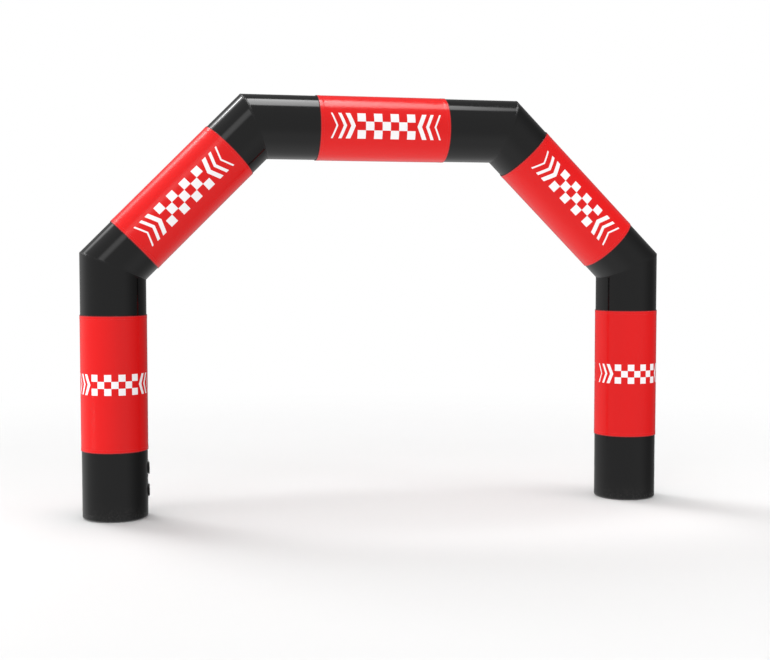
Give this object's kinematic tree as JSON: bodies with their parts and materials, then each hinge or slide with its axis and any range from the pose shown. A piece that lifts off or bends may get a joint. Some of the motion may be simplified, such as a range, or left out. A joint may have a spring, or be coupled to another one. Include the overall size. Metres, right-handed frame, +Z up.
{
  "type": "inflatable arch",
  "caption": "Airtight inflatable arch of mitred air tubes: legs, slanted rises and a beam, each with a slip-on banner sleeve, and capped air valves low on one leg.",
  "frame": {"origin": "on the ground, midway between the two legs", "axes": "+X along the beam, from the leg that has the air valves to the other leg; +Y across the tubes, the way people pass through; +Z up"},
  "size_m": [5.9992, 0.6492, 4.1696],
  "materials": {
    "tube_cloth": "glossy dark grey coated cloth, welded seams",
    "sleeve_cloth": "semi-gloss red printed banner cloth, hemmed",
    "valve_seat": "satin black welded patch and collar",
    "valve_cap": "satin black moulded plastic"
  },
  "bodies": {
    "arch": {"tube_leg_left": "tube_cloth", "tube_rise_left": "tube_cloth", "tube_beam": "tube_cloth", "tube_rise_right": "tube_cloth", "tube_leg_right": "tube_cloth", "sleeve_leg_left": "sleeve_cloth", "sleeve_rise_left": "sleeve_cloth", "sleeve_beam": "sleeve_cloth", "sleeve_rise_right": "sleeve_cloth", "sleeve_leg_right": "sleeve_cloth", "valve_seat_lower": "valve_seat", "valve_seat_upper": "valve_seat"},
    "cap_lower": {"valve_cap_lower": "valve_cap"},
    "cap_upper": {"valve_cap_upper": "valve_cap"}
  },
  "joints": [
    {"name": "cap_lower_turn", "type": "hinge", "parent": "arch", "child": "cap_lower", "pos_m": [-2.3432, 0, 0.256], "axis": [1, 0, 0], "range_deg": [0, 90]},
    {"name": "cap_upper_turn", "type": "hinge", "parent": "arch", "child": "cap_upper", "pos_m": [-2.3432, 0, 0.4765], "axis": [1, 0, 0], "range_deg": [0, 90]}
  ]
}
